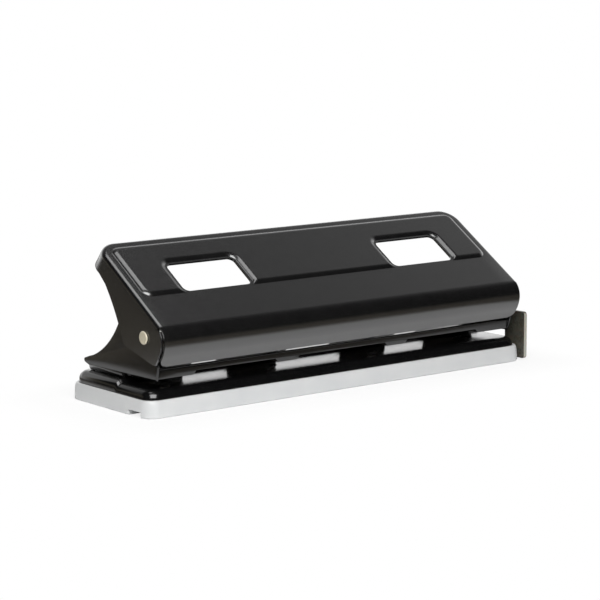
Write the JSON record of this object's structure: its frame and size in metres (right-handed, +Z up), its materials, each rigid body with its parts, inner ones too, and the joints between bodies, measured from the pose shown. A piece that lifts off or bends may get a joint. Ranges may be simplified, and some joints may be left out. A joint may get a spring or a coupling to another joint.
{
  "type": "four hole punch",
  "caption": "Desk hole punch with a sloping pressed steel lever, sprung pins, a steel base over a chip tray, and a sliding paper guide.",
  "frame": {"origin": "middle of the chip tray's footprint, on the desk", "axes": "+X along the punch, to the paper guide's end; +Y from the paper's side to the lever's free edge; +Z up"},
  "size_m": [0.2998, 0.0917, 0.0949],
  "materials": {
    "satin_enamel": "satin black",
    "gloss_enamel": "gloss black",
    "frosted_plastic": "frosted pale",
    "smoky_plastic": "smoky, see-through at its edges",
    "plated_steel": "zinc plated",
    "spring_steel": "bright wire",
    "nickel": "matte nickel plate"
  },
  "bodies": {
    "tray": {"chip_tray": "frosted_plastic"},
    "guide": {"paper_guide": "smoky_plastic"},
    "punch": {"base_plate": "gloss_enamel", "punch_frame": "gloss_enamel", "hinge_pin_left": "nickel", "hinge_pin_right": "nickel", "frame_rivet_1": "plated_steel", "frame_rivet_2": "plated_steel", "frame_rivet_3": "plated_steel", "frame_rivet_4": "plated_steel", "frame_rivet_5": "plated_steel", "frame_rivet_6": "plated_steel", "frame_rivet_7": "plated_steel", "frame_rivet_8": "plated_steel", "spring_seat_1": "plated_steel", "spring_seat_2": "plated_steel", "spring_seat_3": "plated_steel", "spring_seat_4": "plated_steel", "punch_spring_1": "spring_steel", "punch_spring_2": "spring_steel", "punch_spring_3": "spring_steel", "punch_spring_4": "spring_steel"},
    "lever": {"lever": "satin_enamel", "press_bar": "plated_steel"},
    "pin_1": {"punch_pin_1": "plated_steel"},
    "pin_2": {"punch_pin_2": "plated_steel"},
    "pin_3": {"punch_pin_3": "plated_steel"},
    "pin_4": {"punch_pin_4": "plated_steel"}
  },
  "joints": [
    {"name": "guide_slide", "type": "slide", "parent": "tray", "child": "guide", "axis": [1, 0, 0], "range_m": [0, 0.0615]},
    {"name": "tray_release", "type": "slide", "parent": "tray", "child": "punch", "axis": [0, 0, 1], "range_m": [0, 0.03]},
    {"name": "lever_press", "type": "hinge", "parent": "punch", "child": "lever", "pos_m": [0, -0.0298, 0.046], "axis": [-1, 0, 0], "range_deg": [0, 27.5], "stiffness_Nm_per_rad": 0.6, "springref_deg": -27.5},
    {"name": "pin_1_punch", "type": "slide", "parent": "punch", "child": "pin_1", "axis": [0, 0, -1], "range_m": [0, 0.0059], "deforming": ["punch_spring_1"]},
    {"name": "pin_2_punch", "type": "slide", "parent": "punch", "child": "pin_2", "axis": [0, 0, -1], "range_m": [0, 0.0059], "deforming": ["punch_spring_2"]},
    {"name": "pin_3_punch", "type": "slide", "parent": "punch", "child": "pin_3", "axis": [0, 0, -1], "range_m": [0, 0.0059], "deforming": ["punch_spring_3"]},
    {"name": "pin_4_punch", "type": "slide", "parent": "punch", "child": "pin_4", "axis": [0, 0, -1], "range_m": [0, 0.0059], "deforming": ["punch_spring_4"]}
  ],
  "couplings": [
    {"joint": "pin_1_punch", "follows": "lever_press", "m_per_rad": 0.01223},
    {"joint": "pin_2_punch", "follows": "lever_press", "m_per_rad": 0.01223},
    {"joint": "pin_3_punch", "follows": "lever_press", "m_per_rad": 0.01223},
    {"joint": "pin_4_punch", "follows": "lever_press", "m_per_rad": 0.01223}
  ]
}
